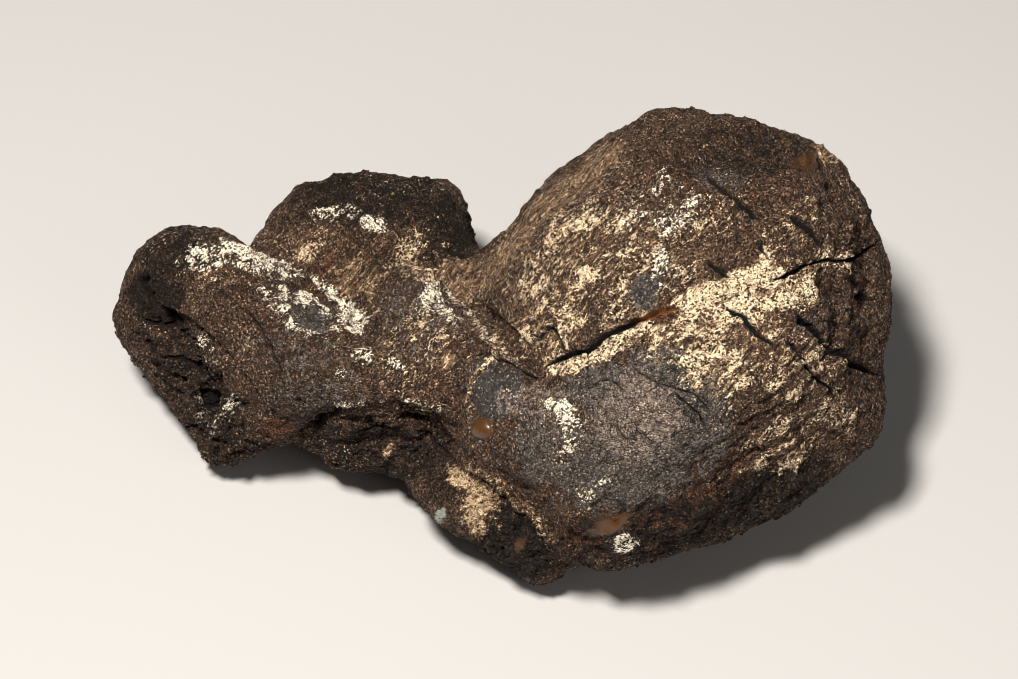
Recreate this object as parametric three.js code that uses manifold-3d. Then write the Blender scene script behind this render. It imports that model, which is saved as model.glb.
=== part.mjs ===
// A weathered lithiophilite nodule: one solid mass of lithium manganese phosphate under a dark
// skin of manganese oxides. A big rounded head runs through a waist into two knuckles, an arm
// with a broken end and a rear knuckle, and the whole lies on a flat broken underside.
import * as THREE from "three";
import { ImprovedNoise } from "three/addons/math/ImprovedNoise.js";
import { mergeVertices } from "three/addons/utils/BufferGeometryUtils.js";
import Module from "manifold-3d";

const wasm = await Module();
wasm.setup();

// The nodule is described as it is seen on its display face, in millimetres: u runs along its
// length, v up the face and w out of the face. The face leans back from upright by LEAN.
const LEAN = THREE.MathUtils.degToRad(40);
// Height of the display face's origin above the surface that the nodule lies on.
const ORIGIN_HEIGHT = 38;
// The face is drawn as it looks from this far in front of its origin.
const VIEWING_DISTANCE = 763.5;

// Each lobe is a pebble: a closed outline of [u, v] corners round a centre, a middle depth w,
// the slope of its middle along u and v, how far it swells to the front and to the back, and how
// boxy its swell is (2 is an ellipsoid). Facets are fracture planes, each a point and a facing.
const HEAD = {
  outline: [
    [-6, 19], [0, 26], [12, 36.5], [22, 43.5], [34, 46], [48, 43.5], [60, 41.5],
    [67, 39], [71, 31], [75, 22], [77.5, 15], [76.5, 2], [76.5, -14], [68, -26],
    [58, -33], [47, -37.5], [37, -42], [24, -44], [8, -43], [0, -33],
    [-4, -24], [-5, -8], [-6, 8],
  ],
  centre: [32, 0],
  depth: 0,
  slope: [0.12, -0.16],
  front: 36,
  back: 42,
  boxy: 2.3,
  detail: 11,
  facets: [
    { at: [9.5, 25, 12], facing: [-0.68, 0.7, 0.2] },
    { at: [40, 40, 14], facing: [0.08, 0.78, 0.62] },
    { at: [70, 28.5, 0], facing: [0.8, 0.52, 0.28] },
    { at: [73, 0, 10], facing: [0.87, 0, 0.5] },
    { at: [54, -24, 18], facing: [0.4, -0.62, 0.67] },
    { at: [30, 18, 31], facing: [-0.16, 0.42, 0.9] },
    { at: [50, 20, -32], facing: [0.3, 0.45, -0.84] },
    { at: [8, 10, -34], facing: [-0.6, 0.2, -0.77] },
  ],
};

const BULGE = {
  outline: [
    [-11, -20], [-9.8, -12], [-6, -6], [7, -2], [22, 2], [36, 0], [42, -12],
    [42, -26], [38, -36], [32, -41], [24, -44], [18, -44.5], [13.5, -43.5],
    [5, -39], [-2, -32], [-10, -25],
  ],
  centre: [16, -22],
  depth: 8,
  slope: [0.22, 0.12],
  front: 23,
  back: 36,
  boxy: 2.3,
  detail: 8,
  facets: [],
};

const ARM = {
  outline: [
    [-90, -4], [-83.5, 5], [-80.5, 9], [-78.5, 16.5], [-74.5, 21.5], [-66, 23.5], [-58, 22.5],
    [-50, 17],
    [-41, 10], [-33, 4.5], [-24, 1], [-12, 0], [-8, -8], [-14, -14], [-28, -12.5],
    [-43, -19], [-51, -23.5], [-59, -28], [-72, -30], [-88, -16],
  ],
  centre: [-52, -4],
  depth: -15,
  slope: [0.2, 0],
  front: 19,
  back: 28,
  boxy: 2.4,
  detail: 9,
  facets: [
    { at: [-62, -9, -10], facing: [-0.56, -0.4, 0.73] },
    { at: [-71, -12, -26], facing: [-0.8, -0.58, 0.1] },
    { at: [-71, -12, -32], facing: [-0.75, -0.54, -0.38] },
    { at: [-60, 18, -24], facing: [-0.2, 0.6, -0.77] },
  ],
};

const REAR_KNUCKLE = {
  outline: [
    [-54, 17], [-52, 23], [-46.5, 29], [-39.5, 33], [-31, 34.5], [-21, 34],
    [-12.5, 34.5], [-9.6, 34], [-9, 28], [-6.6, 21], [-5, 12], [-6, 0], [-16, -10],
    [-34, -12], [-48, 2],
  ],
  centre: [-29, 12],
  depth: -32,
  slope: [0, 0],
  front: 18,
  back: 25,
  boxy: 2.8,
  detail: 7,
  facets: [
    { at: [-30, 26, -16], facing: [0.06, 0.62, 0.78] },
    { at: [-48, 22, -40], facing: [-0.7, 0.35, -0.6] },
  ],
};

const SADDLE = {
  outline: [
    [-22, -4], [-19, 8], [-14, 15], [-7, 17], [-1, 16], [5, 8], [2, -6], [-10, -12],
  ],
  centre: [-9, 3],
  depth: -18,
  slope: [0.3, -0.2],
  front: 13,
  back: 24,
  boxy: 2.6,
  detail: 4,
  facets: [],
};

const WAIST = {
  outline: [
    [-40, -2], [-29.5, 2.5], [-26.5, 8.5], [-22, 15], [-16, 11], [-8, 4],
    [-1, -2.5], [8, -7], [18, -14], [20, -28], [12, -40], [5, -40], [-2, -33],
    [-9, -24], [-13.6, -15.5], [-22, -12.5], [-33, -13], [-41, -17], [-44, -9],
  ],
  centre: [-8, -12],
  depth: 0,
  slope: [0.32, -0.05],
  front: 17,
  back: 34,
  boxy: 2.6,
  detail: 8,
  facets: [],
};

const APRON = {
  outline: [
    [-60, -6], [-56, 4], [-48, 8], [-40, 5], [-31, 0], [-24, 2], [-14, 0], [-8, -8],
    [-13, -14.8], [-19, -13.4], [-24, -12.4], [-29, -12.4], [-33, -13.4],
    [-38, -15.8], [-43, -18.5], [-52, -20], [-59, -15],
  ],
  centre: [-34, -6],
  depth: -6,
  slope: [0.25, 0],
  front: 15,
  back: 20,
  boxy: 3,
  detail: 6,
  facets: [],
};

const UNDERSHELF = {
  outline: [
    [-44, -17], [-44, -21], [-38, -24], [-31, -26], [-25, -26.5], [-21, -29.5],
    [-17, -33], [-8, -33], [-2, -24], [-6, -12], [-22, -8], [-37, -10],
  ],
  centre: [-22, -19],
  depth: -12,
  slope: [0.2, 0],
  front: 14,
  back: 30,
  boxy: 2.4,
  detail: 6,
  facets: [{ at: [-28, -20, -3], facing: [-0.1, -0.62, 0.78] }],
};

const HEEL = {
  outline: [
    [-16, -25], [-20, -30], [-15.5, -35], [-11, -39], [-6, -41], [-2, -45.5],
    [3, -48.5], [8, -48], [12, -45], [14, -38], [10, -28], [-2, -20], [-11, -21],
  ],
  centre: [-3, -34],
  depth: -3,
  slope: [0.1, 0],
  front: 13,
  back: 28,
  boxy: 2.3,
  detail: 6,
  facets: [],
};

// The mass behind and beneath the waist. It carries the other lobes, and is hidden from the front.
const UNDERBODY = {
  outline: [
    [-64, 8], [-52, 14], [-44, 26], [-30, 29], [-15, 28], [-10, 18], [-6, 12],
    [0, 16], [10, 24], [25, 32], [44, 30], [58, 10], [58, -12], [46, -26], [22, -34],
    [2, -36], [-18, -24], [-42, -16], [-60, -12],
  ],
  centre: [-8, 0],
  depth: -30,
  slope: [0, 0],
  front: 12,
  back: 30,
  boxy: 3,
  detail: 8,
  facets: [
    { at: [-20, 22, -46], facing: [-0.1, 0.55, -0.83] },
    { at: [40, 10, -52], facing: [0.3, 0.25, -0.92] },
  ],
};

const LOBES = [HEAD, BULGE, ARM, REAR_KNUCKLE, SADDLE, WAIST, APRON, UNDERSHELF, HEEL, UNDERBODY];
// A fracture plane takes this share of what stands beyond it, so that it stays a little rounded.
const FACET_SHARE = 0.9;

// Creases where lobes meet are rounded this many times, by this share each time.
const SOFTEN_ROUNDS = 3;
const SOFTEN_SHARE = 0.5;

// Lumps and hollows of the weathered skin, in octaves of [size, height].
const LUMPS = [
  [24, 1.8],
  [11, 1.3],
  [6, 0.8],
];

// Open cracks: a width and the run of [u, v] corners that it takes over the display face.
const CRACKS = [
  {
    width: 1.3,
    run: [
      [8, -4.9], [12, -3], [16.6, -1.1], [19, 0.7], [22.4, 2.5], [25.8, 3.9],
      [29.8, 5.7], [34, 5.9],
    ],
  },
  {
    width: 1.1,
    run: [[51.8, 11.3], [54.8, 12.5], [59.4, 14.9], [63.6, 16], [70.6, 17.3], [73.8, 19.9]],
  },
  { width: 1.1, run: [[43.2, 6.7], [46.8, 4.7], [49.4, 1.1], [53.2, -1.3]] },
  { width: 1.2, run: [[57.4, 5.5], [59.4, 2.8], [62.6, 0.7], [66, -2.5], [68.2, -4.5]] },
  { width: 1.1, run: [[39.2, 33.3], [44.2, 29.1], [48.8, 25.1]] },
];

// Holes eaten into the broken end of the arm.
const PITS = [
  { at: [-61.2, -12.5], radius: 2.6 },
  { at: [-72.5, 10.6], radius: 2.2 },
  { at: [-63.8, -6.1], radius: 1.8 },
  { at: [-54, -18.5], radius: 2 },
];

// Corners closer than this are one corner, first in the rough skin, then in the cut stone.
const SKIN_WELD = 0.9;
const STONE_WELD = 0.05;

const OUTLINE_STEPS = 240;

// The distance from a lobe's centre to its outline, as a function of the direction.
function outlineRadius({ outline, centre }) {
  const corners = outline.map(
    ([u, v]) => new THREE.Vector3(u - centre[0], v - centre[1], 0),
  );
  const curve = new THREE.CatmullRomCurve3(corners, true, "centripetal");
  const polar = curve
    .getPoints(OUTLINE_STEPS)
    .map((p) => ({ angle: Math.atan2(p.y, p.x), radius: Math.hypot(p.x, p.y) }))
    .sort((a, b) => a.angle - b.angle);
  const first = polar[0];
  const last = polar[polar.length - 1];
  const turn = 2 * Math.PI;
  const ring = [
    { angle: last.angle - turn, radius: last.radius },
    ...polar,
    { angle: first.angle + turn, radius: first.radius },
  ];
  return (angle) => {
    const i = ring.findIndex((p) => p.angle >= angle);
    const [a, b] = [ring[Math.max(i - 1, 0)], ring[i]];
    const share = (angle - a.angle) / Math.max(b.angle - a.angle, 1e-9);
    return THREE.MathUtils.lerp(a.radius, b.radius, share);
  };
}

// Presses a corner that stands beyond a fracture plane back towards it.
function press(p, { at, facing }) {
  const normal = new THREE.Vector3(...facing).normalize();
  const beyond = p.clone().sub(new THREE.Vector3(...at)).dot(normal);
  if (beyond > 0) p.addScaledVector(normal, -beyond * FACET_SHARE);
}

// A sphere whose equator is drawn out to the lobe's outline and whose poles are its two swells.
function pebble(lobe) {
  const radius = outlineRadius(lobe);
  const geometry = new THREE.IcosahedronGeometry(1, lobe.detail);
  geometry.deleteAttribute("normal");
  geometry.deleteAttribute("uv");
  const place = geometry.getAttribute("position");
  const p = new THREE.Vector3();
  for (let i = 0; i < place.count; i++) {
    p.fromBufferAttribute(place, i);
    const angle = Math.atan2(p.y, p.x);
    const across = radius(angle) * Math.hypot(p.x, p.y) ** (2 / lobe.boxy);
    const swell = p.z > 0 ? lobe.front : lobe.back;
    const out = Math.sign(p.z) * swell * Math.abs(p.z) ** (2 / lobe.boxy);
    const du = across * Math.cos(angle);
    const dv = across * Math.sin(angle);
    const middle = lobe.depth + lobe.slope[0] * du + lobe.slope[1] * dv;
    p.set(lobe.centre[0] + du, lobe.centre[1] + dv, middle + out);
    lobe.facets.forEach((facet) => press(p, facet));
    place.setXYZ(i, p.x, p.y, p.z);
  }
  return mergeVertices(geometry, 1e-4);
}

function solidOf(geometry) {
  const { position } = geometry.attributes;
  return new wasm.Manifold(
    new wasm.Mesh({
      numProp: 3,
      vertProperties: position.array,
      triVerts: new Uint32Array(geometry.index.array),
    }),
  );
}

function geometryOf(solid) {
  const { vertProperties, triVerts } = solid.getMesh();
  return new THREE.BufferGeometry()
    .setAttribute("position", new THREE.BufferAttribute(vertProperties, 3))
    .setIndex(new THREE.BufferAttribute(triVerts, 1));
}

// Welds corners that lie closer together than the reach, and drops the slivers between them.
function cleaned(geometry, reach) {
  const welded = mergeVertices(geometry, reach);
  const index = welded.index.array;
  const kept = [];
  for (let i = 0; i < index.length; i += 3) {
    const [a, b, c] = index.slice(i, i + 3);
    if (a !== b && b !== c && c !== a) kept.push(a, b, c);
  }
  return welded.setIndex(kept);
}

function joined(lobes) {
  return lobes.map((lobe) => solidOf(pebble(lobe))).reduce((a, b) => a.add(b));
}

// Rounds the creases where lobes meet, by moving each corner towards its neighbours' middle.
function soften(geometry, rounds, share) {
  const place = geometry.getAttribute("position");
  const index = geometry.index.array;
  const neighbours = Array.from({ length: place.count }, () => new Set());
  for (let i = 0; i < index.length; i += 3) {
    for (let k = 0; k < 3; k++) {
      neighbours[index[i + k]].add(index[i + ((k + 1) % 3)]);
      neighbours[index[i + ((k + 1) % 3)]].add(index[i + k]);
    }
  }
  const p = new THREE.Vector3();
  const q = new THREE.Vector3();
  for (let round = 0; round < rounds; round++) {
    const before = place.clone();
    for (let i = 0; i < place.count; i++) {
      const mean = new THREE.Vector3();
      neighbours[i].forEach((j) => mean.add(q.fromBufferAttribute(before, j)));
      mean.divideScalar(neighbours[i].size);
      p.fromBufferAttribute(before, i).lerp(mean, share);
      place.setXYZ(i, p.x, p.y, p.z);
    }
  }
}

function roughen(geometry) {
  const noise = new ImprovedNoise();
  geometry.computeVertexNormals();
  const place = geometry.getAttribute("position");
  const normal = geometry.getAttribute("normal");
  const p = new THREE.Vector3();
  const n = new THREE.Vector3();
  for (let i = 0; i < place.count; i++) {
    p.fromBufferAttribute(place, i);
    n.fromBufferAttribute(normal, i);
    let height = 0;
    LUMPS.forEach(([size, most], octave) => {
      const at = p.clone().divideScalar(size).addScalar(7.3 * octave);
      height += most * noise.noise(at.x, at.y, at.z);
    });
    p.addScaledVector(n, height);
    place.setXYZ(i, p.x, p.y, p.z);
  }
  geometry.deleteAttribute("normal");
}

function slabBelow(level) {
  const size = 400;
  const slab = new THREE.BoxGeometry(size, size, size).toNonIndexed();
  slab.deleteAttribute("normal");
  slab.deleteAttribute("uv");
  slab.translate(0, 0, level - size / 2);
  return solidOf(mergeVertices(slab));
}

// Where the line of sight through [u, v] first meets the stone.
function seenAt(stone, [u, v]) {
  const eye = new THREE.Vector3(0, 0, VIEWING_DISTANCE);
  const sight = new THREE.Vector3(u, v, 0).sub(eye).normalize();
  return new THREE.Raycaster(eye, sight).intersectObject(stone)[0].point;
}

const CRACK_STEP = 2.2;
const CRACK_SIDES = 4;

// The round trench of a crack. It follows the surface, and runs out of it at both ends.
function trench(stone, { width, run }) {
  const course = new THREE.SplineCurve(run.map((corner) => new THREE.Vector2(...corner)));
  const steps = Math.ceil(course.getLength() / CRACK_STEP);
  const spine = course.getSpacedPoints(steps).map((p) => seenAt(stone, p.toArray()));
  spine[0].z += width;
  spine[steps].z += width;
  const section = new THREE.Path().absarc(0, 0, width / 2, 0, 2 * Math.PI).getPoints(CRACK_SIDES);
  const geometry = new THREE.ExtrudeGeometry(new THREE.Shape(section), {
    extrudePath: new THREE.CatmullRomCurve3(spine),
    steps,
    bevelEnabled: false,
  });
  geometry.deleteAttribute("normal");
  geometry.deleteAttribute("uv");
  return solidOf(mergeVertices(geometry, 1e-4));
}

function hole(stone, { at, radius }) {
  const geometry = new THREE.IcosahedronGeometry(radius, 1);
  geometry.deleteAttribute("normal");
  geometry.deleteAttribute("uv");
  const { x, y, z } = seenAt(stone, at);
  geometry.translate(x, y, z);
  return solidOf(mergeVertices(geometry, 1e-4));
}

const skin = cleaned(geometryOf(joined(LOBES)), SKIN_WELD);
soften(skin, SOFTEN_ROUNDS, SOFTEN_SHARE);
roughen(skin);

const uncut = new THREE.Mesh(skin);
const cuts = [
  ...CRACKS.map((crack) => trench(uncut, crack)),
  ...PITS.map((pit) => hole(uncut, pit)),
];
const cracked = geometryOf(cuts.reduce((left, cut) => left.subtract(cut), solidOf(skin)));
cracked.rotateX(LEAN);
cracked.translate(0, 0, ORIGIN_HEIGHT);
const body = cleaned(geometryOf(solidOf(cracked).subtract(slabBelow(0))), STONE_WELD);

// The origin is under the middle of the stone's box, on the surface that it lies on.
body.computeBoundingBox();
const middle = body.boundingBox.getCenter(new THREE.Vector3());
body.translate(-middle.x, -middle.y, 0);

const material = new THREE.MeshStandardMaterial({
  color: 0x4a3b30,
  roughness: 0.85,
  metalness: 0,
});
const nodule = new THREE.Mesh(body, material);
nodule.name = "nodule";

const group = new THREE.Group();
group.add(nodule);
export default group;
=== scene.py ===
import math
from itertools import product

import bmesh
import bpy
import numpy as np
from mathutils import Matrix, Vector


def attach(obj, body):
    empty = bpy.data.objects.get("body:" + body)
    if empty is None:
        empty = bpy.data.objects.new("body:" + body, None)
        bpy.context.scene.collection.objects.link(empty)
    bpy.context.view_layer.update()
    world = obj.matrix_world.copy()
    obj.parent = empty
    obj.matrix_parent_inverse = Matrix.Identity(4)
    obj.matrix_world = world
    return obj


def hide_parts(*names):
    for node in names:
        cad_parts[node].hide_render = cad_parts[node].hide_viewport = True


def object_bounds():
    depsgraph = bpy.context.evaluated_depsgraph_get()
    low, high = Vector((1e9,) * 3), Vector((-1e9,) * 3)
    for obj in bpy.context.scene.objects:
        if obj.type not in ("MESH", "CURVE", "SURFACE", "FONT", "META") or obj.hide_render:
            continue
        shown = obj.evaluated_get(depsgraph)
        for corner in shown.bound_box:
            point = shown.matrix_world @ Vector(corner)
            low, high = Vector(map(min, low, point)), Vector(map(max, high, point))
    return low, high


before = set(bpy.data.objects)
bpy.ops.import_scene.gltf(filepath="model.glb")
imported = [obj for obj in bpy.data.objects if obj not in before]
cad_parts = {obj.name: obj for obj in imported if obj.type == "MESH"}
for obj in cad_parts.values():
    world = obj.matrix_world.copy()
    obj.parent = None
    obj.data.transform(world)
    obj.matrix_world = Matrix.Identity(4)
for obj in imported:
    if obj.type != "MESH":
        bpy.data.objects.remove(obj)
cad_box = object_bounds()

# ---------------------------------------------------------------------------- display face
# The nodule is described on its display face: u runs along its length, v up the face and w out
# of it. The face leans back from upright, and is looked at square on from a short way off.
MILLIMETRE = 0.001
LEAN = math.radians(40)
FACE_ORIGIN = np.array([2.76, -5.24, 38.0])      # mm
VIEWING_DISTANCE = 763.5                         # mm
FACE_AXES = np.array([
    [1, 0, 0],
    [0, math.cos(LEAN), math.sin(LEAN)],
    [0, -math.sin(LEAN), math.cos(LEAN)],
])

camera = bpy.data.objects.new("camera", bpy.data.cameras.new("camera"))
camera.data.lens = 135
camera.data.sensor_width = 36
eye = FACE_ORIGIN + VIEWING_DISTANCE * FACE_AXES[2]
camera.matrix_world = (
    Matrix.Translation(Vector(eye * MILLIMETRE))
    @ Matrix(FACE_AXES.T).to_4x4()
)
bpy.context.collection.objects.link(camera)
bpy.context.scene.camera = camera

# ---------------------------------------------------------------------------- the nodule's form
# One natural mass of lithium manganese phosphate, weathered to a rough rounded nodule. Its form
# is the solid's own, with the flat facets evened out to a fine even skin that can be weathered.
SKIN_SIZE = 1.48       # mm between points at the back, and half of that on the display face
SAME_POINT = 1e-6      # m


def even_skin(solid, size):
    """A closed mesh of even squares over a copy of a solid, with its facets smoothed away."""
    skin = bpy.data.objects.new("weathered_nodule", solid.data.copy())
    bpy.context.collection.objects.link(skin)
    form = bmesh.new()
    form.from_mesh(skin.data)
    bmesh.ops.remove_doubles(form, verts=form.verts, dist=SAME_POINT)
    form.to_mesh(skin.data)
    form.free()
    remesh = skin.modifiers.new("even", "REMESH")
    remesh.mode = "VOXEL"
    remesh.voxel_size = size * MILLIMETRE
    smooth = skin.modifiers.new("smooth", "SMOOTH")
    smooth.factor = 0.5
    smooth.iterations = 6
    evaluated = skin.evaluated_get(bpy.context.evaluated_depsgraph_get())
    even = bpy.data.meshes.new_from_object(evaluated)
    skin.modifiers.clear()
    skin.data = even
    return skin


def positions(corners):
    """Where the corners of a mesh are on the display face, in millimetres."""
    points = np.array([corner.co for corner in corners])
    return (points / MILLIMETRE - FACE_ORIGIN) @ FACE_AXES.T


def facings(form):
    """The outward directions of the form's points on the display face."""
    form.normal_update()
    return np.array([corner.normal for corner in form.verts]) @ FACE_AXES.T


def as_seen(points):
    """Where points are seen on the plane of the display face."""
    return points[:, :2] * (VIEWING_DISTANCE / (VIEWING_DISTANCE - points[:, 2:]))


def refine(form, chosen):
    """Halves the squares between the chosen points."""
    form.verts.index_update()
    edges = [edge for edge in form.edges if all(chosen[end.index] for end in edge.verts)]
    bmesh.ops.subdivide_edges(form, edges=edges, cuts=1, use_grid_fill=True)
    form.verts.index_update()


def along(run, seen):
    """How far each seen point is from a run of corners, its share of the way along it, and
    whether it lies on the right of it."""
    run = np.array(run, float)
    lengths = np.linalg.norm(np.diff(run, axis=0), axis=1)
    nearest = np.full(len(seen), np.inf)
    share = np.zeros(len(seen))
    right = np.zeros(len(seen), bool)
    gone = 0.0
    for start, end, length in zip(run[:-1], run[1:], lengths):
        step = (end - start) / length
        reach = np.clip((seen - start) @ step, 0, length)
        offset = seen - start - reach[:, None] * step
        distance = np.linalg.norm(offset, axis=1)
        closer = distance < nearest
        nearest[closer] = distance[closer]
        share[closer] = (gone + reach[closer]) / lengths.sum()
        right[closer] = (offset @ (step[1], -step[0]) > 0)[closer]
        gone += length
    return nearest, share, right


# Open cracks over the display face: half width, depth and run of (u, v) corners, in millimetres.
CRACKS = [
    (0.6, 3.0, [(6, -5.8), (8, -4.9), (10.4, -3.9), (12, -3), (14.6, -2.3), (16.6, -1.1), (19, 0.7),
                (22.4, 2.5), (25.8, 3.9), (28.2, 4.5), (29.8, 5.7), (34.6, 6.2)]),
    (0.5, 2.4, [(51.8, 11.3), (54.8, 12.5), (59.4, 14.9), (63.6, 16.1), (67.4, 15.7),
                (70.6, 17.3), (72.6, 18.5), (74.5, 20.2)]),
    (0.42, 1.8, [(4.2, 0.7), (5.8, 0.3), (8.2, 2.7), (9.4, 1.5), (10, -0.7), (11.8, -2.9)]),
    (0.6, 2.4, [(39.2, 33.3), (44.2, 29.1), (46.2, 27.1), (48.8, 25.1), (50.4, 23.3)]),
    (0.8, 2.6, [(56, 25.3), (57.6, 23.7), (60.4, 22.1), (62.4, 20.3), (64, 18.5), (64.6, 17.5)]),
    (0.4, 1.6, [(39.6, 16.1), (40.8, 14.7), (43, 13.1), (44.4, 11.7)]),
    (0.35, 1.4, [(50.2, 20.1), (50.6, 17.7), (52, 15.7)]),
    (0.6, 2.4, [(43.2, 6.7), (45.2, 4.9), (46.8, 4.7), (48.8, 2.1), (49.4, 1.1), (53.2, -1.3)]),
    (0.75, 3.0, [(57.4, 5.9), (58.4, 3.3), (60.4, 2.5), (63.2, 0), (66.2, -2.7), (68.6, -5.1),
                 (72.2, -6.3), (74, -7.3)]),
    (0.4, 1.6, [(54.6, 0.3), (56.4, -1.1), (59.4, -4.5), (60.8, -7.5), (64, -9.9), (66.2, -12.9)]),
    (0.6, 2.2, [(67, 12.7), (68.6, 11.7), (70.6, 9.7), (73.2, 7.7)]),
    (0.32, 1.2, [(33.2, -10.7), (38, -14.9), (39.4, -17.9)]),
    (0.34, 1.3, [(-32, -18.2), (-29.2, -18.1), (-26.4, -17), (-24.3, -15.9), (-22.2, -14.9),
                 (-18.4, -15), (-15.3, -15.6)]),
    (0.36, 1.4, [(-43, -18.5), (-37.8, -16.1), (-34.4, -14.4), (-30, -13)]),
    (0.32, 1.3, [(-19, -17), (-16, -18.5), (-13.6, -21.3), (-11.5, -23.4), (-11, -25)]),
    (0.3, 1.3, [(-7.5, -25.2), (-1, -31.5), (3, -35.5), (6, -40)]),
    (0.22, 0.9, [(24, -5), (28.2, -8.1), (32.8, -9.5), (36.8, -10.7), (39.6, -13.5), (40.8, -16.1)]),
    (0.2, 0.8, [(32.8, -10.1), (34.6, -12.5), (35.6, -15.5), (38.4, -18.6)]),
    (0.2, 0.8, [(30.2, -4.1), (32.8, -3.5), (36.2, -6.7)]),
    (0.2, 0.8, [(20.2, -16.1), (23.6, -20.1), (25.6, -18.1), (28.2, -20.1), (30.2, -21.5)]),
    (0.2, 0.8, [(15.6, -10.1), (18.2, -8.1), (21.6, -8.7), (23.4, -11)]),
    (0.26, 1.2, [(-7.6, -3.4), (-4.6, -2.9), (-1.6, -4.3), (1, -4.9), (4.4, -7.7), (7.4, -8.3)]),
    (0.42, 2.0, [(-20.4, 15.3), (-21.6, 14.6), (-25.6, 11), (-26.3, 9.6), (-26.3, 5.6),
                 (-27.2, 1.5)]),
    (1.3, 3.0, [(-62.2, -12.2), (-60.2, -12.8)]),
    (1.5, 3.2, [(-74, 12.6), (-72.6, 10.4), (-70.8, 7.8)]),
    (0.9, 2.2, [(-64.4, -5.6), (-63, -6.6)]),
    (0.5, 2.0, [(-74, 4), (-69, 1.5), (-63, -1.5)]),
    (0.4, 1.6, [(-71.5, -2), (-66, -4.5), (-61.5, -8)]),
    (0.28, 1.2, [(-56, 9), (-50, 3), (-46, -6), (-45, -12)]),
]
# Ledges: step, reach and run. The skin on the right of the run lies deeper than that on its
# left by the step, which fades out over the reach.
LEDGES = [
    (0.3, 4, [(-42.7, -14.1), (-34.4, -13.3), (-29.9, -12.3), (-25, -12.1), (-20.8, -12),
              (-16.4, -13.5), (-14, -14.7)]),
    (0.25, 4, [(-32, -18.2), (-29.2, -18.1), (-26.4, -17), (-24.3, -15.9), (-22.2, -14.9),
               (-18.4, -15), (-15.3, -15.6)]),
    (0.7, 5, [(8, -5), (14, -2.8), (20, 1), (26, 3.6), (34, 5.5), (42, 8.5), (50, 9.5)]),
    (2.6, 5, [(7, -8), (-1, -2.5), (-7.8, 3.5), (-15.8, 10.9), (-21, 14.9), (-25.8, 11.1),
              (-26.5, 9.6), (-26.5, 5.6), (-28.4, 1)]),
    (1.8, 8, [(-74, 9.5), (-71.8, 8.9), (-65, 5.5), (-58, 0.5), (-54, -5), (-50, -11), (-45, -17)]),
    (1.8, 6, [(63, 34), (66, 30), (67.5, 22), (66, 12), (67, 2), (65, -8)]),
    (1.2, 5, [(14, -44), (8, -39.5), (2.4, -33), (-3, -27.5), (-9.6, -24.2)]),
]
# Ridges and troughs: height, half width and run. A trough's height is below 0.
FOLDS = [
    (2.0, 2.6, [(-27.4, 6.9), (-24.8, 11.9), (-21.8, 14.3), (-15.8, 10.9), (-7.8, 3.5),
                (-1, -2.5), (7, -7)]),
    (-1.8, 2.2, [(-30, 9), (-27, 13.5), (-22, 17.4), (-15, 14.5), (-8, 8), (-2, 2.5), (6, -2.8)]),
    (1.2, 1.8, [(-72, 9), (-64, 6), (-56, 0), (-51, -8)]),
    (-2.2, 2.6, [(-73, 12), (-67, -1), (-59, -11), (-50, -17)]),
    (1.2, 1.8, [(34.8, 7.9), (42, 10.9), (50, 11.9), (55, 10.5)]),
    (-1.8, 1.8, [(69, 26), (71, 20), (72, 12), (71, 4)]),
    (1.4, 1.6, [(66, 28), (68, 19), (67.6, 10)]),
    (-1.5, 1.6, [(64, 28), (64.5, 20), (63, 12)]),
    (-1.5, 1.5, [(73, 4), (71, -4), (72, -12)]),
    (-1.4, 1.6, [(69, 9), (73.6, 7.4)]),
    (1.0, 1.4, [(66.5, 5), (70, 3), (73, 2)]),
    (-1.2, 1.8, [(-9, -9), (-10, -14), (-11, -20), (-10.6, -24)]),
    (1.0, 1.0, [(-9.6, -24.2), (-3, -27.5), (2.4, -33), (8, -39.5), (11, -43)]),
    (0.7, 0.8, [(-1.6, -2.9), (-4.4, -5), (-7.4, -8), (-8.8, -12.1), (-7.6, -16)]),
    (-2.0, 2.0, [(-26, 15.4), (-28, 11), (-30, 7), (-30.8, 3), (-29.5, -1)]),
    (1.2, 2.0, [(-64, 19), (-56, 18.5), (-46, 13.5), (-38, 10), (-31, 4)]),
    (-1.2, 1.8, [(-39, 15), (-35, 12), (-32, 8)]),
    (1.3, 2.2, [(-40, 24), (-33, 26), (-26, 22)]),
    (1.4, 2.0, [(40, 43), (48, 42.5), (56, 39), (62, 35)]),
    (-1.4, 1.8, [(38, 39), (46, 38), (54, 35)]),
    (1.1, 2.4, [(14, -46), (22, -41.5), (34, -40), (44, -36)]),
    (-1.6, 2.0, [(17, -46), (13.6, -43.5), (11, -38)]),
    (2.6, 3.6, [(-38, -17.5), (-30, -16.5), (-22, -16.5), (-16, -18)]),
    (1.6, 2.2, [(-38, -24), (-30, -25), (-22, -26), (-16, -25)]),
    (-1.0, 1.2, [(-36, -21), (-28, -21.5), (-22, -20)]),
    (1.2, 1.0, [(-13.4, -22), (-12, -26), (-8.8, -26.4)]),
]

# A round glossy bead of fresh mineral: its middle, its radius and how far it stands out.
BEAD = (-5.2, -17.9)
BEAD_RADIUS = 2.1
BEAD_HEIGHT = 1.7

# The skin is halved again beside the cracks, the ledges and the bead, out to these margins in
# millimetres, and once more within the close margin of each crack.
CRACK_MARGIN = 0.45
CLOSE_MARGIN = 0.15
LEDGE_MARGIN = 0.6
BEAD_MARGIN = 0.9
FACING = 0.12          # how far the skin turns to the viewer where it is halved first


def near_cracks(seen, margin):
    """Which of the seen points are in a crack or within the margin of it."""
    near = np.zeros(len(seen), bool)
    for width, _, run in CRACKS:
        near |= along(run, seen)[0] < width + margin
    return near


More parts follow.
